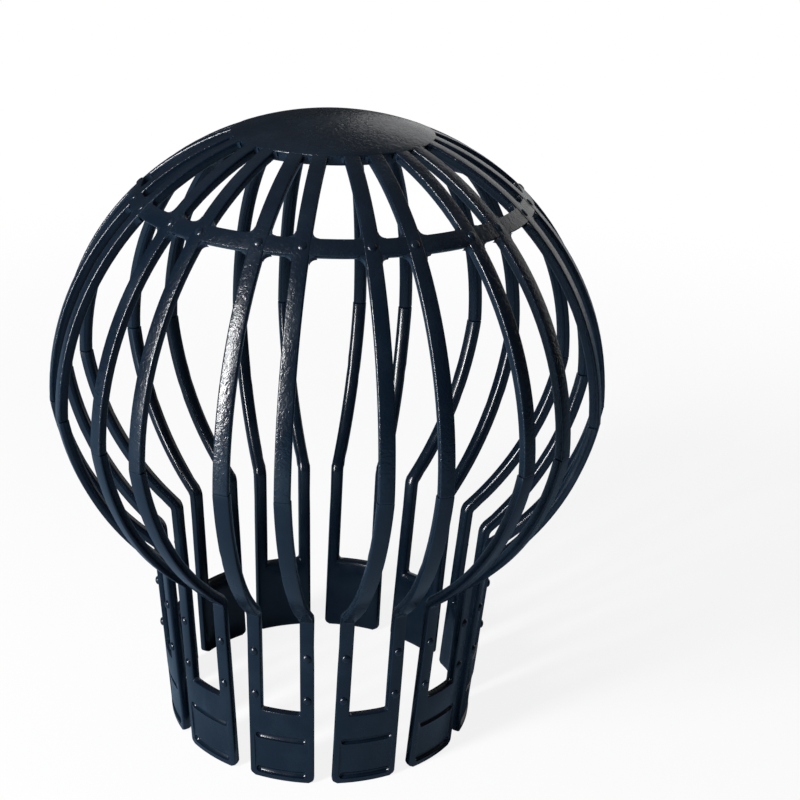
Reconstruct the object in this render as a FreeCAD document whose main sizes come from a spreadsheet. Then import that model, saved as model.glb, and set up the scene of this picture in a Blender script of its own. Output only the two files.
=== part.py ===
"""Downpipe leaf filter: one moulded ball cage on a ring of push-in legs.

A closed cap, pairs of curved ribs, one ring that ties them and, below the moulding
seam, a leg for each pair. The part stands on its feet: origin at the middle of the
foot circle, +Z up, a gap between two legs facing each of X and Y.
"""
import FreeCAD, Part
import math
import os

import Sketcher
from FreeCAD import Placement, Rotation, Vector

doc = FreeCAD.newDocument("DownpipeLeafFilter")

# Driving dimensions, millimetres and degrees
SIZES = [
    ("ball_width", "125", "widest place, over the moulding seam"),
    ("total_height", "145", "feet to the top of the cap"),
    ("leg_height", "44", "feet to the knee where the legs meet the ball"),
    ("leg_count", "12", "legs, each with its pair of ribs"),
    ("wall", "2.6", "ribs, from the outside in"),
    ("leg_wall", "2.2", "legs, from the outside in"),
    ("seam_proud", "0.2", "seam standing out of the rib faces"),
    ("seam_half", "0.3", "half the height of the seam"),
    ("knee_radius", "39.9", "axis to the outside of the knees"),
    ("foot_radius", "36.3", "axis to the outside of the feet"),
    ("knee_outside", "1.5", "rounding under the ball"),
    ("knee_inside", "3.5", "rounding inside the knee"),
    ("rib_width", "3.4", "ribs above the seam"),
    ("pair_angle", "11.4", "between the two ribs of a leg"),
    ("cap_radius", "22", "closed top of the dome"),
    ("cap_proud", "0.08", "cap standing out of the ribs, both sides"),
    ("ring_radius", "42.6", "axis to the middle of the ring that ties the ribs"),
    ("ring_band", "3", "ring seen from above"),
    ("ring_sunk", "0.25", "ring set back from the rib faces, both sides"),
    ("window_width", "9", "slot between the two arms of a leg"),
    ("foot_width", "15", "leg across its foot"),
    ("flare", "0.9", "degrees that a leg opens outwards on each side"),
    ("window_sill", "19", "feet to the lower end of a leg's slot"),
    ("foot_corner", "2.5", "rounded corners of a foot"),
    ("groove_length", "12", "grip grooves across a foot"),
    ("groove_height", "1.3", "grip grooves up the foot"),
    ("groove_depth", "0.8", "grip grooves into the foot"),
    ("upper_groove", "11.8", "feet to the middle of the upper grip groove"),
    ("lower_groove", "2.2", "feet to the middle of the lower grip groove"),
    ("stud_radius", "1", "studs on the arms of a leg"),
    ("stud_height", "0.6", "studs standing out of the arms"),
    ("stud_root", "0.5", "studs sunk in the arms"),
    ("upper_stud", "34.5", "feet to the upper studs"),
    ("lower_stud", "23.2", "feet to the lower studs"),
    ("cut_clear", "1", "cuts reaching past the wall that they open"),
]

# Sizes that follow from the driving ones
DERIVED = [
    ("face_radius", "=ball_width / 2 - seam_proud", "axis to the rib faces at the seam"),
    ("seam_height", "=total_height - face_radius - cap_proud", "feet to the seam"),
    ("half_pitch", "=180 / leg_count", "from a leg to the gap beside it"),
    ("half_pair", "=pair_angle / 2", "from a leg to one of its ribs"),
    ("leg_face", "=face_radius * cos(half_pair * 1deg)", "rib faces, square to the leg"),
    ("leg_seam", "=ball_width / 2 * cos(half_pair * 1deg)", "seam, square to the leg"),
    ("belly_height", "=(leg_face ^ 2 - knee_radius ^ 2) / (2 * (seam_height - leg_height))"
     " + (seam_height + leg_height) / 2", "feet to the middle of the ball's curve below the seam"),
    ("belly_radius", "=sqrt(leg_face ^ 2 + (belly_height - seam_height) ^ 2)", "that curve"),
    ("leg_slope", "=(knee_radius - foot_radius) / leg_height", "lean of the legs"),
    ("leg_gap_angle", "=half_pitch - flare", "gap middle to the side of a leg"),
    ("leg_side", "=(foot_width / 2 - foot_radius * tan(flare * 1deg)) * cos(flare * 1deg)",
     "axis to the line along a leg's side"),
    ("leg_reach", "=face_radius * sin(half_pair * 1deg) + rib_width", "half a leg's blank"),
    ("arm_middle", "=(foot_width + window_width) / 4", "leg's centre plane to the middle of an arm"),
    ("inside_radius", "=min(foot_radius; knee_radius) - leg_wall - cut_clear", "clear of the legs' inside"),
    ("clear_radius", "=ball_width / 2 + leg_reach + cut_clear", "clear of the outside of the ball"),
    ("root_radius", "=cap_radius - wall", "ends of the ribs inside the cap"),
]

sheet = doc.addObject("Spreadsheet::Sheet", "Sizes")
for row, (alias, content, note) in enumerate(SIZES + DERIVED, start=1):
    sheet.set(f"A{row}", alias)
    sheet.set(f"B{row}", content)
    sheet.set(f"C{row}", note)
    sheet.setAlias(f"B{row}", alias)
doc.recompute()

body = doc.addObject("PartDesign::Body", "LeafFilter")
body.Label = "leaf_filter"

# The sketcher's numbers for the ends and the centre of a curve, and for its own axes
START, END, MIDDLE = range(1, 4)
X_AXIS, Y_AXIS = range(-1, -3, -1)
ORIGIN = (X_AXIS, START)


def size(alias):
    """Value of a named cell."""
    return float(sheet.get(alias))


def evaluate(formula):
    """Value of a formula of named cells."""
    return float(sheet.evalExpression(formula))


def origin_part(role):
    """One of the body's own reference planes or axes."""
    return next(item for item in body.Origin.OriginFeatures if item.Role == role)


def new_sketch(name, role, axis=None, turn=None):
    """Empty sketch on a reference plane of the body, turned about one of its own axes."""
    sketch = body.newObject("Sketcher::SketchObject", name)
    sketch.AttachmentSupport = [(origin_part(role), "")]
    sketch.MapMode = "FlatFace"
    if turn:
        sketch.AttachmentOffset = Placement(Vector(), Rotation(axis, evaluate(turn)))
        sketch.setExpression("AttachmentOffset.Rotation.Angle", turn)
    return sketch


def join(sketch, kind, *pairs):
    """Tie the ends of neighbouring lines and arcs."""
    for pair in pairs:
        sketch.addConstraint(Sketcher.Constraint(kind, *pair))


def put_on(sketch, axis, *places):
    """Keep points on an axis of the sketch."""
    for place in places:
        sketch.addConstraint(Sketcher.Constraint("PointOnObject", *place, axis))


def measure(sketch, name, formula, kind, *places):
    """Add a named dimension to a sketch and bind it to the cells."""
    value = evaluate(formula)
    if kind == "Angle":
        value = math.radians(value)
    index = sketch.addConstraint(Sketcher.Constraint(kind, *places, value))
    sketch.renameConstraint(index, name)
    sketch.setExpression(f"Constraints.{name}", formula)


def line(sketch, first, second):
    """Add a straight line."""
    return sketch.addGeometry(Part.LineSegment(first, second))


def arc(sketch, centre, first, second):
    """Add an arc that runs anticlockwise from first to second."""
    angles = [math.atan2(point.y - centre.y, point.x - centre.x) for point in (first, second)]
    circle = Part.Circle(centre, Vector(0, 0, 1), (first - centre).Length)
    return sketch.addGeometry(Part.ArcOfCircle(circle, *angles))


def revolve(name, sketch):
    """Turn a half section about the axis of the part."""
    turned = body.newObject("PartDesign::Revolution", name)
    turned.Profile = sketch
    turned.ReferenceAxis = (sketch, ["V_Axis"])
    turned.Angle = 360
    doc.recompute()
    return turned


def pad(name, sketch, width):
    """Thicken a section by width, half to each side."""
    padded = body.newObject("PartDesign::Pad", name)
    padded.Profile = sketch
    padded.Midplane = True
    padded.setExpression("Length", width)
    doc.recompute()
    return padded


def pocket(name, sketch, depth):
    """Cut downwards from a sketch, and make sure that it cuts."""
    volume = body.Shape.Volume
    cut = body.newObject("PartDesign::Pocket", name)
    cut.Profile = sketch
    cut.setExpression("Length", depth)
    doc.recompute()
    if cut.Shape.Volume >= volume:
        raise RuntimeError(f"{name} removes nothing")
    return cut


def repeat(feature):
    """Repeat a feature on every leg."""
    around = body.newObject("PartDesign::PolarPattern", feature.Name + "Around")
    around.Originals = [feature]
    around.Axis = (origin_part("Z_Axis"), [""])
    around.Angle = 360
    around.setExpression("Occurrences", "Sizes.leg_count")
    body.Tip = around
    doc.recompute()
    return around


# Cap

def on_ball(radius, across):
    """Point of the ball's half section at a distance from the axis."""
    return Vector(across, size("seam_height") + math.sqrt(radius ** 2 - across ** 2), 0)


def draw_cap():
    """Half section of the closed top: straight down at its rim, with a shallow cone underneath."""
    sketch = new_sketch("CapSection", "XZ_Plane")
    inside = "(Sizes.face_radius - Sizes.wall - Sizes.cap_proud)"
    outside, rim = size("face_radius") + size("cap_proud"), size("cap_radius")
    top, under = on_ball(outside, 0), on_ball(evaluate(inside), 0)
    edge_top, edge_foot = on_ball(outside, rim), on_ball(evaluate(inside), rim)
    dome = arc(sketch, Vector(0, size("seam_height"), 0), edge_top, top)
    edge = line(sketch, edge_foot, edge_top)
    axis = line(sketch, top, under)
    cone = line(sketch, under, edge_foot)
    join(sketch, "Coincident", (edge, END, dome, START), (axis, START, dome, END),
         (cone, START, axis, END), (cone, END, edge, START))
    put_on(sketch, Y_AXIS, (dome, MIDDLE), (dome, END), (axis, END))
    sketch.addConstraint(Sketcher.Constraint("Vertical", edge))
    measure(sketch, "seam", "Sizes.seam_height", "DistanceY", *ORIGIN, dome, MIDDLE)
    measure(sketch, "outside", "Sizes.face_radius + Sizes.cap_proud", "Radius", dome)
    measure(sketch, "rim", "Sizes.cap_radius", "DistanceX", *ORIGIN, edge, END)
    measure(sketch, "rimFoot", f"sqrt({inside} ^ 2 - Sizes.cap_radius ^ 2)", "DistanceY",
            dome, MIDDLE, edge, START)
    measure(sketch, "under", inside, "DistanceY", dome, MIDDLE, axis, END)
    return sketch


revolve("Cap", draw_cap())


# Ribs of the dome, two for each leg

def draw_rib(name, turn):
    """Section of one rib, from inside the cap down to the seam."""
    sketch = new_sketch(name, "XZ_Plane", Vector(0, 1, 0), turn)
    face, seam, half = size("face_radius"), size("seam_height"), size("seam_half")
    inside, root = face - size("wall"), size("root_radius")
    centre = Vector(0, seam, 0)
    lip, heel = Vector(size("ball_width") / 2, seam, 0), Vector(inside, seam, 0)
    shoulder = Vector(math.sqrt(face ** 2 - half ** 2), seam + half, 0)
    outer = arc(sketch, centre, shoulder, on_ball(face, root))
    inner = arc(sketch, centre, heel, on_ball(inside, root))
    end = line(sketch, on_ball(inside, root), on_ball(face, root))
    sole = line(sketch, heel, lip)
    bevel = line(sketch, lip, shoulder)
    join(sketch, "Coincident", (end, START, inner, END), (end, END, outer, END),
         (sole, START, inner, START), (sole, END, bevel, START), (bevel, END, outer, START),
         (outer, MIDDLE, inner, MIDDLE))
    put_on(sketch, Y_AXIS, (outer, MIDDLE))
    sketch.addConstraint(Sketcher.Constraint("Vertical", end))
    sketch.addConstraint(Sketcher.Constraint("Horizontal", sole))
    measure(sketch, "seam", "Sizes.seam_height", "DistanceY", *ORIGIN, outer, MIDDLE)
    measure(sketch, "sole", "Sizes.seam_height", "DistanceY", *ORIGIN, sole, START)
    measure(sketch, "face", "Sizes.face_radius", "Radius", outer)
    measure(sketch, "inside", "Sizes.face_radius - Sizes.wall", "Radius", inner)
    measure(sketch, "root", "Sizes.root_radius", "DistanceX", *ORIGIN, end, END)
    measure(sketch, "lip", "Sizes.ball_width / 2", "DistanceX", *ORIGIN, sole, END)
    measure(sketch, "shoulder", "Sizes.seam_half", "DistanceY", sole, END, bevel, END)
    return sketch


for hand, turn in (("Left", "Sizes.half_pair"), ("Right", "-Sizes.half_pair")):
    repeat(pad("Rib" + hand, draw_rib("RibSection" + hand, turn), "Sizes.rib_width"))


# Ring that ties the ribs together

def draw_ring():
    """Half section of the ring, set back from the ribs and cut along the axis of the part."""
    sketch = new_sketch("RingSection", "XZ_Plane")
    radii = {"Out": "Sizes.face_radius - Sizes.ring_sunk",
             "In": "Sizes.face_radius - Sizes.wall + Sizes.ring_sunk"}
    edges = {"Far": "Sizes.ring_radius + Sizes.ring_band / 2",
             "Near": "Sizes.ring_radius - Sizes.ring_band / 2"}
    turns = [("Out", "Far"), ("Out", "Near"), ("In", "Near"), ("In", "Far")]
    corners = [on_ball(evaluate(radii[depth]), evaluate(edges[edge])) for depth, edge in turns]
    sides = [line(sketch, corners[k], corners[(k + 1) % 4]) for k in range(4)]
    for k, (depth, edge) in enumerate(turns):
        join(sketch, "Coincident", (sides[k - 1], END, sides[k], START))
        height = f"Sizes.seam_height + sqrt(({radii[depth]}) ^ 2 - ({edges[edge]}) ^ 2)"
        measure(sketch, f"across{depth}{edge}", edges[edge], "DistanceX", *ORIGIN, sides[k], START)
        measure(sketch, f"up{depth}{edge}", height, "DistanceY", *ORIGIN, sides[k], START)
    return sketch


revolve("Ring", draw_ring())


# Legs: belly, knee and foot in one section

def knee(belly, foot, radius):
    """Rounding between the belly curve and the straight of a leg: centre and two ends."""
    slope, high = size("leg_slope"), size("belly_height")
    lean = math.hypot(1, slope)
    start = foot + radius * lean
    reach = belly + radius
    b = (slope * start - high) / lean ** 2
    c = (start ** 2 + high ** 2 - reach ** 2) / lean ** 2
    up = -b - math.sqrt(b ** 2 - c)
    centre = Vector(start + slope * up, up, 0)
    middle = Vector(0, high, 0)
    on_belly = middle + (centre - middle) * (belly / reach)
    on_leg = centre - Vector(1, -slope, 0) * (radius / lean)
    return centre, on_belly, on_leg


def draw_leg():
    """Section of a leg's blank, from the seam down to the foot."""
    sketch = new_sketch("LegSection", "XZ_Plane")
    seam, half, high = size("seam_height"), size("seam_half"), size("belly_height")
    belly, foot = size("belly_radius"), size("foot_radius")
    inner_belly, inner_foot = belly - size("wall"), foot - size("leg_wall")
    middle = Vector(0, high, 0)
    lip = Vector(size("leg_seam"), seam, 0)
    shoulder = Vector(math.sqrt(belly ** 2 - (high - seam + half) ** 2), seam - half, 0)
    heel = Vector(math.sqrt(inner_belly ** 2 - (high - seam) ** 2), seam, 0)
    bend, bend_top, bend_low = knee(belly, foot, size("knee_outside"))
    crook, crook_top, crook_low = knee(inner_belly, inner_foot, size("knee_inside"))
    toe, toe_in = Vector(foot, 0, 0), Vector(inner_foot, 0, 0)

    top = line(sketch, heel, lip)
    bevel = line(sketch, lip, shoulder)
    outer = arc(sketch, middle, bend_top, shoulder)
    turn_out = arc(sketch, bend, bend_top, bend_low)
    shin = line(sketch, toe, bend_low)
    sole = line(sketch, toe_in, toe)
    shin_in = line(sketch, toe_in, crook_low)
    turn_in = arc(sketch, crook, crook_top, crook_low)
    inner = arc(sketch, middle, crook_top, heel)

    join(sketch, "Coincident", (top, END, bevel, START), (bevel, END, outer, END),
         (shin, START, sole, END), (sole, START, shin_in, START), (inner, END, top, START),
         (outer, MIDDLE, inner, MIDDLE))
    join(sketch, "Tangent", (outer, START, turn_out, START), (turn_out, END, shin, END),
         (shin_in, END, turn_in, END), (turn_in, START, inner, START))
    put_on(sketch, Y_AXIS, (outer, MIDDLE))
    put_on(sketch, X_AXIS, (sole, START), (sole, END))
    sketch.addConstraint(Sketcher.Constraint("Horizontal", top))
    sketch.addConstraint(Sketcher.Constraint("Parallel", shin, shin_in))
    measure(sketch, "belly", "Sizes.belly_radius", "Radius", outer)
    measure(sketch, "inside", "Sizes.belly_radius - Sizes.wall", "Radius", inner)
    measure(sketch, "high", "Sizes.belly_height", "DistanceY", *ORIGIN, outer, MIDDLE)
    measure(sketch, "lip", "Sizes.leg_seam", "DistanceX", *ORIGIN, top, END)
    measure(sketch, "seam", "Sizes.seam_height", "DistanceY", *ORIGIN, top, END)
    measure(sketch, "shoulder", "Sizes.seam_half", "DistanceY", bevel, END, top, END)
    measure(sketch, "foot", "Sizes.foot_radius", "DistanceX", *ORIGIN, sole, END)
    measure(sketch, "legWall", "Sizes.leg_wall", "DistanceX", sole, START, sole, END)
    measure(sketch, "lean", "90deg - atan(Sizes.leg_slope)", "Angle", shin)
    measure(sketch, "kneeOutside", "Sizes.knee_outside", "Radius", turn_out)
    measure(sketch, "kneeInside", "Sizes.knee_inside", "Radius", turn_in)
    return sketch


repeat(pad("Leg", draw_leg(), "2 * Sizes.leg_reach"))


# Slot inside each leg and gap beside it, both cut straight down from the seam

def draw_opening(name, half_angle, offset, turn):
    """Plan of an opening between two straight sides, alike on both sides of the sketch's X axis.

    The sides make half_angle with X. Carried on, they would pass the axis of the part at offset,
    beyond X as seen from the opening if it is positive and on the opening's own side if negative.
    """
    sketch = new_sketch(name, "XY_Plane", Vector(0, 0, 1), turn)
    sketch.setExpression("AttachmentOffset.Base.z", "Sizes.seam_height")
    angle, shift = math.radians(evaluate(half_angle)), evaluate(offset)
    along = Vector(math.cos(angle), math.sin(angle), 0)
    nearest = Vector(along.y, -along.x, 0) * shift
    ends = [nearest + along * math.sqrt(size(alias) ** 2 - shift ** 2)
            for alias in ("inside_radius", "clear_radius")]
    mirrored = [Vector(point.x, -point.y, 0) for point in ends]
    left, right = line(sketch, *ends), line(sketch, *mirrored)
    for place, alias in ((START, "inside_radius"), (END, "clear_radius")):
        across = arc(sketch, Vector(), mirrored[place - 1], ends[place - 1])
        join(sketch, "Coincident", (across, MIDDLE, *ORIGIN), (across, START, right, place),
             (across, END, left, place))
        sketch.addConstraint(Sketcher.Constraint("Symmetric", across, START, across, END, X_AXIS))
        measure(sketch, alias.title().replace("_", ""), f"Sizes.{alias}", "Radius", across)
    measure(sketch, "Offset", f"abs({offset})", "Distance", *ORIGIN, left)
    if angle:
        measure(sketch, "HalfAngle", f"{half_angle} * 1deg", "Angle", left)
    else:
        sketch.addConstraint(Sketcher.Constraint("Horizontal", left))
    return sketch


slot = draw_opening("SlotPlan", "0", "-Sizes.window_width / 2", None)
repeat(pocket("Slot", slot, "Sizes.seam_height - Sizes.window_sill"))
gap = draw_opening("GapPlan", "Sizes.leg_gap_angle", "Sizes.leg_side", "Sizes.half_pitch")
cage = repeat(pocket("Gap", gap, "Sizes.seam_height + Sizes.cut_clear"))

corners = body.newObject("PartDesign::Fillet", "FootCorners")
corners.Base = (cage, [
    f"Edge{number}" for number, edge in enumerate(cage.Shape.Edges, start=1)
    if not edge.Degenerated and all(abs(end.Z) < 1e-6 for end in edge.Vertexes)
    and abs(edge.Length - size("leg_wall")) < size("leg_wall") / 4
])
corners.setExpression("Radius", "Sizes.foot_corner")
doc.recompute()


# Grip grooves across the feet

def draw_grooves():
    """Two narrow rectangles on a plane that leans with the outer face of a leg."""
    sketch = new_sketch("GroovePlan", "YZ_Plane", Vector(1, 0, 0), "atan(Sizes.leg_slope)")
    sketch.setExpression("AttachmentOffset.Base.z", "Sizes.foot_radius")
    half_length, half_height = size("groove_length") / 2, size("groove_height") / 2
    for alias in ("upper_groove", "lower_groove"):
        up, name = size(alias), alias.replace("_groove", "")
        corners = [Vector(across * half_length, up + rise * half_height, 0)
                   for across, rise in ((-1, -1), (1, -1), (1, 1), (-1, 1))]
        sides = [line(sketch, corners[k], corners[(k + 1) % 4]) for k in range(4)]
        for k in range(4):
            join(sketch, "Coincident", (sides[k - 1], END, sides[k], START))
        join(sketch, "Vertical", (sides[1],))
        join(sketch, "Symmetric", *[(side, START, side, END, Y_AXIS) for side in sides[::2]])
        measure(sketch, name + "Length", "Sizes.groove_length", "DistanceX", sides[0], START, sides[0], END)
        measure(sketch, name + "Height", "Sizes.groove_height", "DistanceY", sides[1], START, sides[1], END)
        measure(sketch, name + "Up", f"Sizes.{alias} - Sizes.groove_height / 2", "DistanceY",
                *ORIGIN, sides[0], START)
    return sketch


repeat(pocket("GripGrooves", draw_grooves(), "Sizes.groove_depth"))


# Studs on the arms

def stud(name, level, side):
    """Six-sided stud square to the outer face of an arm."""
    lean = "atan(Sizes.leg_slope)"
    face = f"Sizes.foot_radius + Sizes.leg_slope * Sizes.{level}"
    place = {"x": f"{face} - Sizes.stud_root * cos({lean})",
             "y": f"{side} * Sizes.arm_middle",
             "z": f"Sizes.{level} + Sizes.stud_root * sin({lean})"}
    prism = body.newObject("PartDesign::AdditivePrism", name)
    prism.Polygon = 6
    prism.Placement = Placement(Vector(), Rotation(Vector(0, 1, 0), evaluate(f"90deg + {lean}")))
    prism.setExpression("Placement.Rotation.Angle", f"90deg + {lean}")
    for axis, formula in place.items():
        prism.setExpression(f"Placement.Base.{axis}", formula)
    prism.setExpression("Circumradius", "Sizes.stud_radius")
    prism.setExpression("Height", "Sizes.stud_root + Sizes.stud_height")
    doc.recompute()
    return prism


for level in ("upper_stud", "lower_stud"):
    for hand, side in (("Left", "-1"), ("Right", "1")):
        repeat(stud(level.title().replace("_", "") + hand, level, side))

body.Placement = Placement(Vector(), Rotation(Vector(0, 0, 1), size("half_pitch")))
body.setExpression("Placement.Rotation.Angle", "Sizes.half_pitch")
doc.recompute()

for item in doc.Objects:
    if "Invalid" in item.State or "Error" in item.State:
        raise RuntimeError(f"{item.Name} failed: {item.State}")
shape = body.Shape
if shape.isNull() or not shape.isValid() or len(shape.Solids) != 1:
    raise RuntimeError("the filter is not one valid solid")

os.makedirs("parts", exist_ok=True)
shape.exportStep(f"parts/{body.Label}.step")
box = shape.BoundBox
print(f"{body.Label}: {box.XLength:.2f} x {box.YLength:.2f} x {box.ZLength:.2f} mm, "
      f"{shape.Volume / 1000:.2f} cm3, {len(shape.Faces)} faces")
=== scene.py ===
import bpy
from math import acos, asin, atan, atan2, cos, hypot, pi, radians, sin, sqrt
from mathutils import Matrix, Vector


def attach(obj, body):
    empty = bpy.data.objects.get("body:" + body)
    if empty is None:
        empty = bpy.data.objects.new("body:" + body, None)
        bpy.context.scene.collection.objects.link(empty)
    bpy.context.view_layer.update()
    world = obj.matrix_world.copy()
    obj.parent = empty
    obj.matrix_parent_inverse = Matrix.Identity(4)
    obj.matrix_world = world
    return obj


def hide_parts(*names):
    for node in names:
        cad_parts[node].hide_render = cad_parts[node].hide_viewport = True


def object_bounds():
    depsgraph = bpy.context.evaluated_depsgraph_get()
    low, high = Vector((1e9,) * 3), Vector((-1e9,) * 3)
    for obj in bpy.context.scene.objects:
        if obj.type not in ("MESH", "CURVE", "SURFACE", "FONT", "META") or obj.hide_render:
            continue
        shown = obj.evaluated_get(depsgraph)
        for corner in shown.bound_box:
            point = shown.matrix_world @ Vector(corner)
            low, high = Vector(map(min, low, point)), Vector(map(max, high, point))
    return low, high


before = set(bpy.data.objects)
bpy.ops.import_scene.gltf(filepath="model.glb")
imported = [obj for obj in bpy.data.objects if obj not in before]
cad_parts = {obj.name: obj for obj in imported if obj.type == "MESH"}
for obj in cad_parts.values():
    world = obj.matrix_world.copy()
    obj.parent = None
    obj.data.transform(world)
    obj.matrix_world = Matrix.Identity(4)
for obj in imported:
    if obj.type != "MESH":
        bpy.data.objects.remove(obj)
cadLow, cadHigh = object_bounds()
mm = 0.001
print("frame loaded")

# mesh work, sizes in mm
meshing = {
    "weld": 0.002,        # points closer than this become one
    "near": 0.01,         # how close counts as on a line, and as a sliver after a cut
    "roundSteps": 3,      # faces across a rounded edge
    "smooth": 35,         # degrees, edges below this are shaded smooth
}


# helpers: places and sizes in mm, a modifier's own settings in m

def deselectAll():
    if bpy.context.mode != "OBJECT":
        bpy.ops.object.mode_set(mode="OBJECT")
    bpy.ops.object.select_all(action="DESELECT")


def selectOnly(piece):
    deselectAll()
    piece.select_set(True)
    bpy.context.view_layer.objects.active = piece


def editMesh(piece, select=True, by="VERT"):
    selectOnly(piece)
    bpy.ops.object.mode_set(mode="EDIT")
    bpy.ops.mesh.select_mode(type=by)
    bpy.ops.mesh.select_all(action="SELECT" if select else "DESELECT")


def selectFaces(piece, test):
    editMesh(piece, select=False, by="FACE")
    bpy.ops.object.mode_set(mode="OBJECT")
    for face in piece.data.polygons:
        face.select = test(face.center)
    bpy.ops.object.mode_set(mode="EDIT")


def selectPoints(piece, test):
    editMesh(piece, select=False)
    bpy.ops.object.mode_set(mode="OBJECT")
    for point in piece.data.vertices:
        point.select = test(point.co)
    bpy.ops.object.mode_set(mode="EDIT")


def changeEdges(piece, test):
    # selects edges anew, by a test that may ask which are selected now
    bpy.ops.object.mode_set(mode="OBJECT")
    points = piece.data.vertices
    for edge in piece.data.edges:
        edge.select = test(edge, [points[end].co for end in edge.vertices])
    bpy.ops.object.mode_set(mode="EDIT")


def startPiece(name, addPrimitive, **settings):
    deselectAll()
    addPrimitive(**settings)
    piece = bpy.context.active_object
    piece.name = piece.data.name = name
    return piece


def startPoint(name, place):
    # a single point, which is then drawn out into a line
    piece = startPiece(name, bpy.ops.mesh.primitive_plane_add, size=mm)
    editMesh(piece)
    bpy.ops.mesh.merge(type="CENTER")
    bpy.ops.transform.translate(value=[c * mm for c in place])
    return piece


def startSection(name, wall, width, inside):
    # flat section, X through the wall, narrower on its inner side, which stays selected
    piece = startPiece(name, bpy.ops.mesh.primitive_plane_add, size=1)
    editMesh(piece)
    bpy.ops.transform.resize(value=(wall * mm, width * mm, 1))
    selectPoints(piece, lambda at: at.x < 0)
    bpy.ops.transform.resize(value=(1, inside / width, 1))
    return piece


def cutAt(piece, place, normal, keepInner=False):
    editMesh(piece)
    bpy.ops.mesh.bisect(plane_co=[c * mm for c in place], plane_no=normal, clear_outer=keepInner)


def addModifier(piece, kind, **settings):
    selectOnly(piece)
    modifier = piece.modifiers.new(kind.title(), kind)
    for key, value in settings.items():
        setattr(modifier, key, value)
    bpy.ops.object.modifier_apply(modifier=modifier.name)


def roundEdges(piece, width, sharp, steps=meshing["roundSteps"]):
    addModifier(piece, "BEVEL", width=width * mm, segments=steps, limit_method="ANGLE",
                angle_limit=radians(sharp))


def closeEnds(piece):
    editMesh(piece)
    bpy.ops.mesh.fill_holes(sides=0)
    bpy.ops.object.mode_set(mode="OBJECT")


def faceOutwards(piece):
    editMesh(piece)
    bpy.ops.mesh.remove_doubles(threshold=meshing["weld"] * mm)
    bpy.ops.mesh.normals_make_consistent(inside=False)
    bpy.ops.object.mode_set(mode="OBJECT")


def setDown(piece, place=(0, 0, 0), tilt=0, turn=0):
    # tilted about Y, moved to its place, then turned about the axis of the ball
    selectOnly(piece)
    piece.rotation_euler = (0, tilt, 0)
    piece.location = [c * mm for c in place]
    bpy.ops.object.transform_apply(location=True, rotation=True, scale=True)
    piece.rotation_euler = (0, 0, turn)
    bpy.ops.object.transform_apply(location=True, rotation=True, scale=True)
    return piece


def copyPiece(piece, **where):
    copy = piece.copy()
    copy.data = piece.data.copy()
    bpy.context.collection.objects.link(copy)
    return setDown(copy, **where)


def joinPieces(pieces, name):
    deselectAll()
    for piece in pieces:
        piece.select_set(True)
    bpy.context.view_layer.objects.active = pieces[0]
    bpy.ops.object.join()
    pieces[0].name = pieces[0].data.name = name
    return pieces[0]


# the ball and the ring of legs, sizes in mm
ball = {
    "width": 125.0,       # over the seam
    "seamProud": 0.2,     # the faces lie this far inside that width
    "seamHalf": 0.6,      # the seam's line starts this far above the seam
    "lip": 0.1,           # what shows of the seam on the faces
    "wall": 2.4,
    "capProud": 0.08,     # cap over the ribs
    "legs": 12,
}
height = cadHigh[2] / mm
faceRadius = ball["width"] / 2 - ball["seamProud"]
wallMiddle = faceRadius - ball["wall"] / 2
seamHeight = height - faceRadius - ball["capProud"]
pitch = 2 * pi / ball["legs"]
ballMiddle = (0, 0, seamHeight)


# webs in inside corners, sizes in mm
fillet = {
    "bite": 0.4,          # reaches into both neighbours
    "sunk": 0.25,         # outer face set back from theirs
    "steps": 6,
}


def makeFillet(size, sides, depth):
    # hollow edge towards the opening, outer face on X = 0
    piece = startPoint("fillet", (0, size, 0))
    bpy.ops.mesh.spin(steps=fillet["steps"], angle=pi / 2, center=(0, size * mm, size * mm),
                      axis=(1, 0, 0))
    bpy.ops.mesh.select_all(action="SELECT")
    bpy.ops.mesh.extrude_edges_move()
    bite = -fillet["bite"] * mm
    bpy.ops.transform.resize(value=(0, 0, 0), center_override=(0, bite, bite))
    bpy.ops.mesh.select_all(action="SELECT")
    bpy.ops.transform.resize(value=(1, sides[0], sides[1]), center_override=(0, 0, 0))
    bpy.ops.mesh.extrude_region_move(TRANSFORM_OT_translate={"value": (-depth * mm, 0, 0)})
    faceOutwards(piece)
    return piece


# round-headed studs and marks
dome = {
    "segments": 16,
    "rings": 12,
    "rooted": 0.4,        # reaches below the face by this share of its height
}


def makeDome(radius, tall):
    # points along +X
    piece = startPiece("dome", bpy.ops.mesh.primitive_uv_sphere_add, segments=dome["segments"],
                       ring_count=dome["rings"], radius=radius * mm)
    editMesh(piece)
    bpy.ops.transform.resize(value=(tall / radius, 1, 1))
    cutAt(piece, (-dome["rooted"] * tall, 0, 0), (-1, 0, 0), keepInner=True)
    closeEnds(piece)
    return piece


# ring that ties the ribs, sizes in mm
ring = {
    "radius": 42.6,
    "band": 4.1,          # along the ball
    "inside": 2.8,        # width of the inner face
    "sunk": 0.04,         # set back from the rib faces
    "steps": 180,
    "edge": 0.45,
    "sharp": 40,          # degrees, edges above this are rounded
}
ringLift = acos(ring["radius"] / faceRadius)


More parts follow.
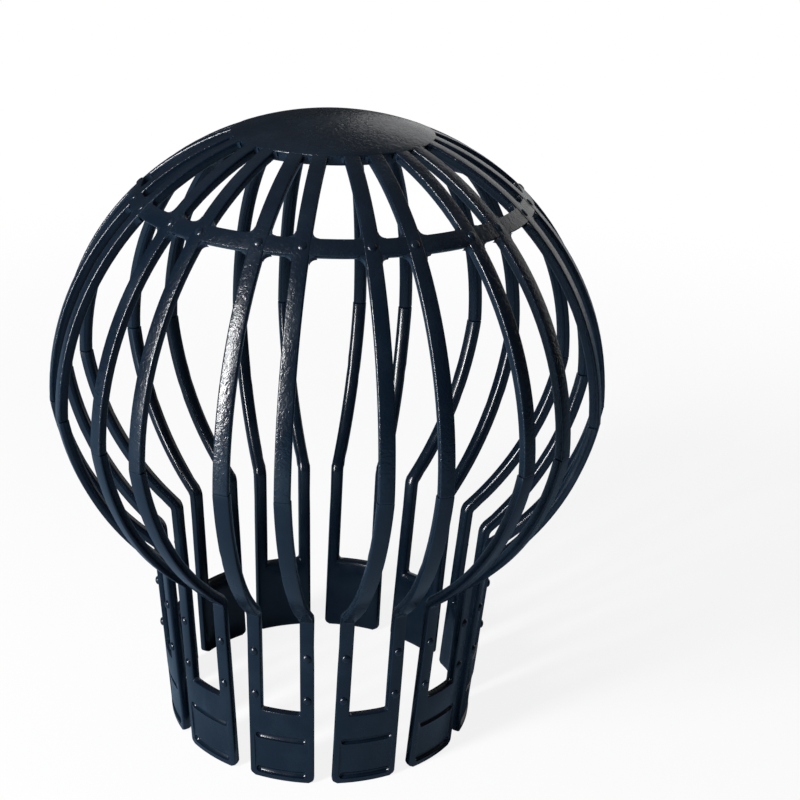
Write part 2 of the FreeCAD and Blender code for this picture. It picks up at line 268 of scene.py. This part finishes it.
def makeRing():
    piece = startSection("ring", ball["wall"] - 2 * ring["sunk"], ring["band"], ring["inside"])
    bpy.ops.object.mode_set(mode="OBJECT")
    piece.rotation_euler = (pi / 2, 0, 0)                # band upright
    bpy.ops.object.transform_apply(location=True, rotation=True, scale=True)
    setDown(piece, (wallMiddle * cos(ringLift), 0, seamHeight + wallMiddle * sin(ringLift)), -ringLift)
    editMesh(piece)
    bpy.ops.mesh.spin(steps=ring["steps"], angle=2 * pi, center=(0, 0, 0), axis=(0, 0, 1))
    faceOutwards(piece)
    editMesh(piece, select=False, by="FACE")
    bpy.ops.mesh.select_interior_faces()                 # a full turn leaves one at each step
    bpy.ops.mesh.delete(type="FACE")
    faceOutwards(piece)
    roundEdges(piece, ring["edge"], ring["sharp"])
    return piece


# closed cap of the dome, sizes in mm
cap = {
    "radius": 22.0,
    "segments": 144,
    "rings": 96,
    "edge": 0.25,
    "sharp": 40,          # degrees
}
capLift = acos(cap["radius"] / faceRadius)


def makeCap():
    outside = faceRadius + ball["capProud"]
    piece = startPiece("cap", bpy.ops.mesh.primitive_uv_sphere_add, segments=cap["segments"],
                       ring_count=cap["rings"], radius=outside * mm)
    setDown(piece, ballMiddle)
    rim = seamHeight + sqrt(outside ** 2 - cap["radius"] ** 2)
    cutAt(piece, (0, 0, rim), (0, 0, -1), keepInner=True)
    addModifier(piece, "SOLIDIFY", thickness=(ball["wall"] + ball["capProud"]) * mm, offset=-1)
    roundEdges(piece, cap["edge"], cap["sharp"])
    return piece


# ribs of the dome, in pairs, sizes in mm
rib = {
    "width": 3.4,
    "inside": 2.9,        # width towards the inside, the sides draw in
    "innerRound": 1.1,
    "pairAngle": 10.54,   # degrees between the two ribs of a leg
    "spread": 0.47,       # each rib stands off the middle of its pair by this much more
    "root": 16.8,         # ends inside the cap, mm from the axis
    "steps": 30,
    "edge": 0.4,          # rounding of the edges
    "sharp": 50,          # degrees
    "lipDepth": 1.0,      # how much of the wall moves out with the seam's lip
    "ringFillet": 1.4,
    "capFillet": 0.6,
    "filletDepth": 1.2,
    "pip": (0.95, 0.35),  # mark on each crossing with the ring, radius and height
}
halfPair = radians(rib["pairAngle"] / 2)


def onSeamFace(at):
    onSeam = abs(at.z - seamHeight * mm) < meshing["near"] * mm
    return onSeam and at.x > (faceRadius - rib["lipDepth"]) * mm


def ribTrim():
    # mark on the crossing with the ring, webs above and below the ring and under the cap
    pip = setDown(makeDome(*rib["pip"]), (faceRadius, 0, 0))
    trim = [setDown(pip, ballMiddle, -ringLift)]
    ringEdge = ring["band"] / 2
    corners = ((1, ringLift, rib["ringFillet"], ringEdge),
               (-1, ringLift, rib["ringFillet"], ringEdge),
               (-1, capLift, rib["capFillet"], 0))
    for side in (1, -1):
        for end, lift, size, edge in corners:
            web = makeFillet(size, (side, end), rib["filletDepth"])
            setDown(web, (faceRadius - fillet["sunk"], side * rib["width"] / 2, end * edge))
            trim.append(setDown(web, ballMiddle, -lift))
    return trim


def makeRib():
    # section swept over the ball from the seam up into the cap
    piece = startSection("rib", ball["wall"], rib["width"], rib["inside"])
    bpy.ops.mesh.bevel(offset=rib["innerRound"] * mm, segments=meshing["roundSteps"], affect="VERTICES")
    bpy.ops.mesh.select_all(action="SELECT")
    bpy.ops.transform.translate(value=(wallMiddle * mm, 0, seamHeight * mm))
    sweep = acos(rib["root"] / faceRadius)
    bpy.ops.mesh.spin(steps=rib["steps"], angle=sweep, center=(0, 0, seamHeight * mm), axis=(0, 1, 0))
    faceOutwards(piece)
    cutAt(piece, (0, 0, seamHeight + ball["seamHalf"]), (0, 0, 1))
    selectPoints(piece, onSeamFace)
    bpy.ops.transform.translate(value=(ball["lip"] * mm, 0, 0))
    roundEdges(piece, rib["edge"], rib["sharp"])
    return joinPieces([piece] + ribTrim(), "rib")


# legs: belly, knee, arms and foot, sizes in mm
leg = {
    "height": 44.0,       # feet to the knee
    "kneeRadius": 40.15,  # axis to the knee, outside
    "footRadius": 36.6,   # axis to the outside of the feet
    "kneeRound": 1.5,
    "trim": 1.0,          # drawn this far above the seam, then cut off square at it
    "window": 9.0,        # between the arms
    "windowFillet": 0.8,
    "filletDepth": 1.0,
    "sill": 19.0,         # feet to the lower end of the window
    "footWidth": 15.0,
    "flare": 0.9,         # degrees that a side opens outwards
    "corner": 1.5,        # radius of the foot's corners
    "cornerSteps": 4,
    "spanAngle": 28.0,    # degrees about the axis, before the sides are trimmed
    "bellySteps": 20,
    "kneeSteps": 4,
    "straightSteps": 4,   # knee to sill, and again sill to foot
    "acrossSteps": 18,
    "margin": 1.0,        # columns of faces are joined from this far inside the window's sides
    "edge": 0.3,          # rounding outside
    "innerRound": 1.4,
    "sharp": 50,          # degrees
    "grooves": (11.8, 2.2),            # heights of the grip grooves
    "groove": (12.0, 1.8, 0.9, 0.9),   # length, height, depth, rounding of the ends
    "field": (12.6, 10.0, 0.3, 0.25),  # the same of the shallow field between them
    "studs": (34.5, 23.2),             # heights of the studs on the arms
    "stud": (1.0, 0.6),                # radius and height
    "armMiddle": 6.0,                  # from the middle of the leg
}
bellyHeight = ((faceRadius ** 2 - leg["kneeRadius"] ** 2) / (2 * (seamHeight - leg["height"]))
               + (seamHeight + leg["height"]) / 2)
bellyRadius = hypot(faceRadius, bellyHeight - seamHeight)
legSlope = (leg["kneeRadius"] - leg["footRadius"]) / leg["height"]
legLean = atan(legSlope)
halfWindow = leg["window"] / 2


def legFace(up):
    return leg["footRadius"] + legSlope * up


def kneeCentre(radius):
    # rounding that touches the belly curve and the straight of the leg
    lean = hypot(1, legSlope)
    start = leg["footRadius"] + radius * lean
    half = (legSlope * start - bellyHeight) / lean ** 2
    rest = (start ** 2 + bellyHeight ** 2 - (bellyRadius + radius) ** 2) / lean ** 2
    up = -half - sqrt(half ** 2 - rest)
    return start + legSlope * up, up


def drawLegSection():
    # outer face from just above the seam, where it is trimmed later, down to the foot
    across, up = kneeCentre(leg["kneeRound"])
    startUp = seamHeight + leg["trim"]
    startAcross = sqrt(bellyRadius ** 2 - (bellyHeight - startUp) ** 2)
    bellyStart = atan2(bellyHeight - startUp, startAcross)
    bellyEnd = atan2(bellyHeight - up, across)
    kneeLow = up + leg["kneeRound"] * sin(legLean)
    piece = startPoint("leg", (startAcross, 0, startUp))
    bpy.ops.mesh.spin(steps=leg["bellySteps"], angle=bellyStart - bellyEnd,
                      center=(0, 0, bellyHeight * mm), axis=(0, 1, 0))
    bpy.ops.mesh.spin(steps=leg["kneeSteps"], angle=bellyEnd - legLean,
                      center=(across * mm, 0, up * mm), axis=(0, 1, 0))
    steps = leg["straightSteps"]
    for drop in [(kneeLow - leg["sill"]) / steps] * steps + [leg["sill"] / steps] * steps:
        bpy.ops.mesh.extrude_vertices_move(
            TRANSFORM_OT_translate={"value": (-legSlope * drop * mm, 0, -drop * mm)})
    return piece


def trimLeg(piece):
    # sides, round corners of the foot, and the window between the arms
    flare = radians(leg["flare"])
    for side in (1, -1):
        sideAt = (leg["footRadius"], side * leg["footWidth"] / 2, 0)
        cutAt(piece, sideAt, (-sin(flare), side * cos(flare), 0), keepInner=True)
        for k in range(1, leg["cornerSteps"]):
            turn = radians(90 * k / leg["cornerSteps"])
            out, down = sin(turn), cos(turn)
            across = leg["footWidth"] / 2 - leg["corner"] + leg["corner"] * out
            cutAt(piece, (0, side * across, leg["corner"] * (1 - down)), (0, side * out, -down),
                  keepInner=True)
        cutAt(piece, (0, side * halfWindow, 0), (0, 1, 0))
    cutAt(piece, (0, 0, leg["sill"]), (0, 0, 1))
    selectFaces(piece, lambda at: abs(at.y) < halfWindow * mm and at.z > leg["sill"] * mm)
    bpy.ops.mesh.delete(type="FACE")
    faceOutwards(piece)
    widest = max(piece.data.polygons, key=lambda face: face.center.x)
    if widest.normal.x < 0:                              # an open sheet can come out turned inwards
        editMesh(piece)
        bpy.ops.mesh.flip_normals()
        bpy.ops.object.mode_set(mode="OBJECT")


def inColumn(edge, ends):
    # upright edges within the arms and margins, not on the border or in line with the window's sides
    a, b = ends
    upright = abs(a.z - b.z) > meshing["near"] * mm
    outer = abs(a.y + b.y) / 2 > (halfWindow - leg["margin"]) * mm
    onWindow = max(abs(abs(end.y) - halfWindow * mm) for end in ends) < meshing["near"] * mm
    return upright and outer and not onWindow and not edge.select


def dropColumns(piece):
    # leaves each arm and margin one face wide, so that its edges have room for their rounding
    editMesh(piece, select=False, by="EDGE")
    bpy.ops.mesh.select_non_manifold()
    changeEdges(piece, inColumn)
    bpy.ops.mesh.dissolve_edges(use_verts=True)
    bpy.ops.object.mode_set(mode="OBJECT")


def thickenLeg(piece):
    # wall inwards, round inner edges, upper end cut off square at the seam, then the outer edges
    outerCount = len(piece.data.vertices)
    addModifier(piece, "SOLIDIFY", thickness=ball["wall"] * mm, offset=-1, use_even_offset=True)

    def innerEdge(edge, ends):
        # sharp edges of the inner side, whose points follow the outer ones, but not its upper end
        belowSeam = min(end.z for end in ends) < seamHeight * mm
        return edge.select and min(edge.vertices) >= outerCount and belowSeam

    editMesh(piece, select=False, by="EDGE")
    bpy.ops.mesh.edges_select_sharp(sharpness=radians(leg["sharp"]))
    changeEdges(piece, innerEdge)
    bpy.ops.mesh.bevel(offset=leg["innerRound"] * mm, segments=meshing["roundSteps"], affect="EDGES",
                       clamp_overlap=True)
    cutAt(piece, ballMiddle, (0, 0, 1), keepInner=True)
    roundEdges(piece, leg["edge"], leg["sharp"])
    closeEnds(piece)                                     # crisp upper end, where the rib stands


# bodies that cut the hollows of the foot
hollow = {
    "sides": 16,          # of the oval section
    "steps": 12,          # along the length
    "endSteps": 4,        # faces across the rounded ends
    "sharp": 60,          # degrees
}


def makeHollow(up, length, high, deep, ends):
    # oval section, turned about the axis of the ball over the length of the hollow
    span = length / legFace(up)
    piece = startPiece("hollow", bpy.ops.mesh.primitive_circle_add, vertices=hollow["sides"], radius=mm,
                       fill_type="NGON", rotation=(pi / 2, 0, 0))
    bpy.ops.object.transform_apply(location=True, rotation=True, scale=True)
    editMesh(piece)
    bpy.ops.transform.resize(value=(deep, 1, high / 2))
    setDown(piece, (legFace(up), 0, up), legLean)
    editMesh(piece)
    bpy.ops.mesh.spin(steps=hollow["steps"], angle=span, center=(0, 0, 0), axis=(0, 0, 1))
    faceOutwards(piece)
    setDown(piece, turn=span / 2)
    roundEdges(piece, ends, hollow["sharp"], hollow["endSteps"])
    return piece


def pressHollows(piece):
    # the shallow field, then the grip grooves above and below it
    cutters = [makeHollow(sum(leg["grooves"]) / 2, *leg["field"])]
    cutters += [makeHollow(up, *leg["groove"]) for up in leg["grooves"]]
    for cutter in cutters:
        addModifier(piece, "BOOLEAN", object=cutter, operation="DIFFERENCE", solver="EXACT")
        bpy.data.objects.remove(cutter)
    editMesh(piece)
    bpy.ops.mesh.remove_doubles(threshold=meshing["near"] * mm)
    bpy.ops.mesh.dissolve_degenerate(threshold=meshing["near"] * mm)
    bpy.ops.object.mode_set(mode="OBJECT")


def legTrim():
    # studs on the arms, webs in the lower corners of the window
    trim = []
    sillFace = legFace(leg["sill"])
    for side in (1, -1):
        for up in leg["studs"]:
            turn = asin(side * leg["armMiddle"] / legFace(up))
            trim.append(setDown(makeDome(*leg["stud"]), (legFace(up), 0, up), legLean, turn))
        web = makeFillet(leg["windowFillet"], (-side, 1), leg["filletDepth"])
        turn = asin(side * halfWindow / sillFace)
        trim.append(setDown(web, (sillFace - fillet["sunk"], 0, leg["sill"]), legLean, turn))
    return trim


def makeLeg():
    # section turned about the axis of the ball, trimmed to its outline, then given its wall
    piece = drawLegSection()
    span = radians(leg["spanAngle"])
    editMesh(piece)
    bpy.ops.mesh.spin(steps=leg["acrossSteps"], angle=span, center=(0, 0, 0), axis=(0, 0, 1))
    setDown(piece, turn=span / 2)
    trimLeg(piece)
    dropColumns(piece)
    thickenLeg(piece)
    pressHollows(piece)
    return joinPieces([piece] + legTrim(), "leg")


# the whole moulding
firstRib = makeRib()
firstLeg = makeLeg()
print("rib and leg modelled")
pairRibs = [copyPiece(firstRib, turn=side * halfPair) for side in (1, -1)]
for side, pairRib in zip((1, -1), pairRibs):
    setDown(pairRib, (0, side * rib["spread"], 0))
pieces = [makeCap(), makeRing()]
for k in range(ball["legs"]):
    pieces += [copyPiece(first, turn=(k + 0.5) * pitch) for first in [firstLeg] + pairRibs]
for first in [firstRib, firstLeg] + pairRibs:
    bpy.data.objects.remove(first)
moulding = joinPieces(pieces, "leafFilter")
bpy.ops.object.shade_smooth_by_angle(angle=radians(meshing["smooth"]))
print("moulding", len(moulding.data.polygons), "faces")


# materials

def linear(hexColour):
    parts = [int(hexColour[k:k + 2], 16) / 255 for k in (1, 3, 5)]
    return tuple(c / 12.92 if c <= 0.04045 else ((c + 0.055) / 1.055) ** 2.4 for c in parts) + (1,)


def addNode(tree, kind, settings=None, links=None):
    # a socket goes by its name, or by its number where others have the same name
    node = tree.nodes.new(kind)
    for key, value in (settings or {}).items():
        if isinstance(key, int) or key in node.inputs:
            node.inputs[key].default_value = value
        else:
            setattr(node, key, value)
    for key, source in (links or {}).items():
        tree.links.new(source, node.inputs[key])
    return node


def newMaterial(name):
    material = bpy.data.materials.new(name)
    material.use_nodes = True
    material.node_tree.nodes.clear()
    return material, material.node_tree


plastic = {
    "colour": "#06111d",
    "wornAndSheen": "#1a2835",        # scuffed edges with a painted edge sheen, and faint flow marks
    "edgeWearAndSheen": 0.5,          # how far the colour goes to that on the edges, as wear and painted edge sheen
    "flowWear": 0.35,         # and in the flow marks
    "ior": 1.49,              # polypropylene
    "satin": 0.26,            # roughness of the outer faces
    "inside": 0.2,            # roughness of the inner faces
    "patchy": 0.05,           # roughness more or less where the melt ran
    "turn": 10.0,             # mm, how softly inner faces change to outer ones
    "grain": 1.1,             # mm, texture of the dome, drawn about twice the real size so that it shows
    "grainDepth": 0.12,       # mm
    "grainStart": 2.0,        # mm above the seam, where the grain has its full depth
    "smooth": 0.05,           # share of that depth below the seam and inside
    "flow": 9.0,              # mm, clouding where the melt ran
}


def blackPolypropylene():
    # injection-moulded polypropylene, nearly black with a cold slate sheen: the dome keeps the fine
    # grain of its mould, which breaks up the highlights, and below the seam the skin is smooth satin
    material, tree = newMaterial("blackPolypropylene")
    place = addNode(tree, "ShaderNodeTexCoord").outputs["Object"]
    surface = addNode(tree, "ShaderNodeNewGeometry").outputs
    up = addNode(tree, "ShaderNodeSeparateXYZ", links={"Vector": place}).outputs["Z"]
    aboveSeam = addNode(tree, "ShaderNodeMapRange", {
        "From Min": seamHeight * mm, "From Max": (seamHeight + plastic["grainStart"]) * mm},
        {"Value": up}).outputs["Result"]
    grain = addNode(tree, "ShaderNodeTexNoise", {
        "Scale": 1 / mm / plastic["grain"], "Detail": 2.0, "Roughness": 0.6, "Distortion": 1.0},
        {"Vector": place}).outputs["Fac"]
    clouds = addNode(tree, "ShaderNodeTexNoise", {
        "Scale": 1 / mm / plastic["flow"], "Detail": 4.0, "Roughness": 0.55},
        {"Vector": place}).outputs["Fac"]

    # 1 on faces that look out of the ball, 0 on those that look in
    fromMiddle = addNode(tree, "ShaderNodeMapping", {"Location": (0, 0, -seamHeight * mm)},
                         {"Vector": place}).outputs["Vector"]
    facing = addNode(tree, "ShaderNodeVectorMath", {"operation": "DOT_PRODUCT"},
                     {0: fromMiddle, 1: surface["Normal"]}).outputs["Value"]
    outside = addNode(tree, "ShaderNodeMapRange", {
        "From Min": -plastic["turn"] * mm, "From Max": plastic["turn"] * mm},
        {"Value": facing}).outputs["Result"]
    grained = addNode(tree, "ShaderNodeMath", {"operation": "MULTIPLY"},
                      {0: aboveSeam, 1: outside}).outputs["Value"]

    # colour, a little lighter on the edges, partly scuffs and partly a painted edge sheen, and in flow marks
    # painted edge sheen: edges found by pointiness are lightened in the colour itself, standing in for
    # highlights along them
    edges = addNode(tree, "ShaderNodeMapRange", {
        "From Min": 0.52, "From Max": 0.62, "To Max": plastic["edgeWearAndSheen"]},
        {"Value": surface["Pointiness"]}).outputs["Result"]
    marks = addNode(tree, "ShaderNodeMapRange", {
        "From Min": 0.45, "From Max": 0.8, "To Max": plastic["flowWear"]},
        {"Value": clouds}).outputs["Result"]
    wearAndSheen = addNode(tree, "ShaderNodeMath", {"operation": "MAXIMUM"}, {0: edges, 1: marks}).outputs["Value"]
    colour = addNode(tree, "ShaderNodeMix", {
        "data_type": "RGBA", 6: linear(plastic["colour"]), 7: linear(plastic["wornAndSheen"])},
        {"Factor": wearAndSheen}).outputs[2]

    # satin outside, glossier inside
    gloss = addNode(tree, "ShaderNodeMapRange", {
        "To Min": plastic["inside"], "To Max": plastic["satin"]}, {"Value": outside}).outputs["Result"]
    patches = addNode(tree, "ShaderNodeMapRange", {
        "From Min": 0.3, "From Max": 0.7, "To Min": -plastic["patchy"], "To Max": plastic["patchy"]},
        {"Value": clouds}).outputs["Result"]
    rough = addNode(tree, "ShaderNodeMath", {"operation": "ADD"}, {0: gloss, 1: patches}).outputs["Value"]

    depth = addNode(tree, "ShaderNodeMapRange", {"To Min": plastic["smooth"], "To Max": 1.0},
                    {"Value": grained}).outputs["Result"]
    bump = addNode(tree, "ShaderNodeBump", {"Distance": plastic["grainDepth"] * mm},
                   {"Height": grain, "Strength": depth}).outputs["Normal"]
    shader = addNode(tree, "ShaderNodeBsdfPrincipled", {"IOR": plastic["ior"]},
                     {"Base Color": colour, "Roughness": rough, "Normal": bump}).outputs["BSDF"]
    addNode(tree, "ShaderNodeOutputMaterial", links={"Surface": shader})
    return material


moulding.data.materials.clear()
moulding.data.materials.append(blackPolypropylene())
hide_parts("leaf_filter")
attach(moulding, "root")
print("plastic on")


# floor and room, sizes in m
studio = {
    "floor": "#f4f4f4",
    "bounce": "#8099b2",          # what the plastic sees of the floor
    "floorSize": 6.0,
    "shadow": 0.14,               # how much of the floor's own shading the camera sees, near the feet
    "shadowReach": (0.12, 0.5),   # from the axis, where that starts to fade and where it ends
    "backdrop": "#ffffff",        # what the camera sees of the room
    "room": "#dfe9f4",
    "roomLight": 0.045,           # what the plastic sees of the room
}


def makeFloor():
    floor = startPiece("floor", bpy.ops.mesh.primitive_plane_add, size=studio["floorSize"])
    material, tree = newMaterial("paleFloor")
    seen = addNode(tree, "ShaderNodeLightPath").outputs["Is Camera Ray"]
    paint = addNode(tree, "ShaderNodeBsdfDiffuse", {"Color": linear(studio["floor"])}).outputs[0]
    bounce = addNode(tree, "ShaderNodeBsdfDiffuse", {"Color": linear(studio["bounce"])}).outputs[0]
    glow = addNode(tree, "ShaderNodeEmission", {"Strength": 1.0}).outputs[0]
    place = addNode(tree, "ShaderNodeTexCoord").outputs["Object"]
    away = addNode(tree, "ShaderNodeVectorMath", {"operation": "LENGTH"}, {"Vector": place}).outputs["Value"]
    fade = addNode(tree, "ShaderNodeMapRange", {
        "From Min": studio["shadowReach"][0], "From Max": studio["shadowReach"][1],
        "To Min": studio["shadow"], "To Max": 0.0, "interpolation_type": "SMOOTHSTEP"},
        {"Value": away}).outputs["Result"]
    backdrop = addNode(tree, "ShaderNodeMixShader", links={"Fac": fade, 1: glow, 2: paint}).outputs[0]
    pick = addNode(tree, "ShaderNodeMixShader", links={"Fac": seen, 1: bounce, 2: backdrop}).outputs[0]
    addNode(tree, "ShaderNodeOutputMaterial", links={"Surface": pick})
    floor.data.materials.append(material)


def makeWorld():
    world = bpy.data.worlds.new("studio")
    bpy.context.scene.world = world
    world.use_nodes = True
    tree = world.node_tree
    tree.nodes.clear()
    seen = addNode(tree, "ShaderNodeLightPath").outputs["Is Camera Ray"]
    dim = addNode(tree, "ShaderNodeBackground", {
        "Color": linear(studio["room"]), "Strength": studio["roomLight"]}).outputs[0]
    white = addNode(tree, "ShaderNodeBackground", {
        "Color": linear(studio["backdrop"]), "Strength": 1.0}).outputs[0]
    pick = addNode(tree, "ShaderNodeMixShader", links={"Fac": seen, 1: dim, 2: white}).outputs[0]
    addNode(tree, "ShaderNodeOutputWorld", links={"Surface": pick})


# lamps, all aimed at the middle of the ball: place and size in m, power in W
lamps = {
    "keyLight": ((-0.625, -0.52, 0.38), (0.14, 0.6), 16),   # upright strip at the left
    "topLight": ((0.0, 0.3, 1.1), (2.0, 2.0), 1),
    "backLight": ((0.7, 0.9, 0.35), (1.4, 0.9), 3),
}


def addAreaLight(name, place, size, power):
    deselectAll()
    bpy.ops.object.light_add(type="AREA", location=place)
    light = bpy.context.active_object
    light.name = name
    light.data.shape = "RECTANGLE"
    light.data.size, light.data.size_y = size
    light.data.energy = power
    away = [a - b * mm for a, b in zip(place, ballMiddle)]
    distance = sqrt(sum(c * c for c in away))
    light.rotation_euler = (acos(away[2] / distance), 0, atan2(away[1], away[0]) + pi / 2)


# camera, sizes in mm
camera = {
    "distance": 328.6,    # from the axis
    "height": 212.3,      # above the feet
    "aside": 1.75,        # degrees, towards -X
    "pitch": 22.81,       # degrees, downwards
    "roll": 1.33,         # degrees
    "lens": 69.7,
    "sensor": 36,
    "shift": (0.092, 0.026),
    "nearest": 10,        # nothing nearer than this is drawn
}


def makeCamera():
    aside = radians(camera["aside"])
    place = (-camera["distance"] * sin(aside), -camera["distance"] * cos(aside), camera["height"])
    deselectAll()
    bpy.ops.object.camera_add(location=[c * mm for c in place],
                              rotation=(pi / 2 - radians(camera["pitch"]), 0, -aside))
    view = bpy.context.active_object
    view.data.lens = camera["lens"]
    view.data.sensor_width = camera["sensor"]
    view.data.shift_x, view.data.shift_y = camera["shift"]
    view.data.clip_start = camera["nearest"] * mm
    turn = view.rotation_euler.to_matrix() @ Matrix.Rotation(radians(camera["roll"]), 3, "Z")
    view.rotation_euler = turn.to_euler()
    bpy.context.scene.camera = view


makeFloor()
makeWorld()
for name, (place, size, power) in lamps.items():
    addAreaLight(name, place, size, power)
makeCamera()
bpy.context.scene.view_settings.view_transform = "Standard"
print("studio ready")
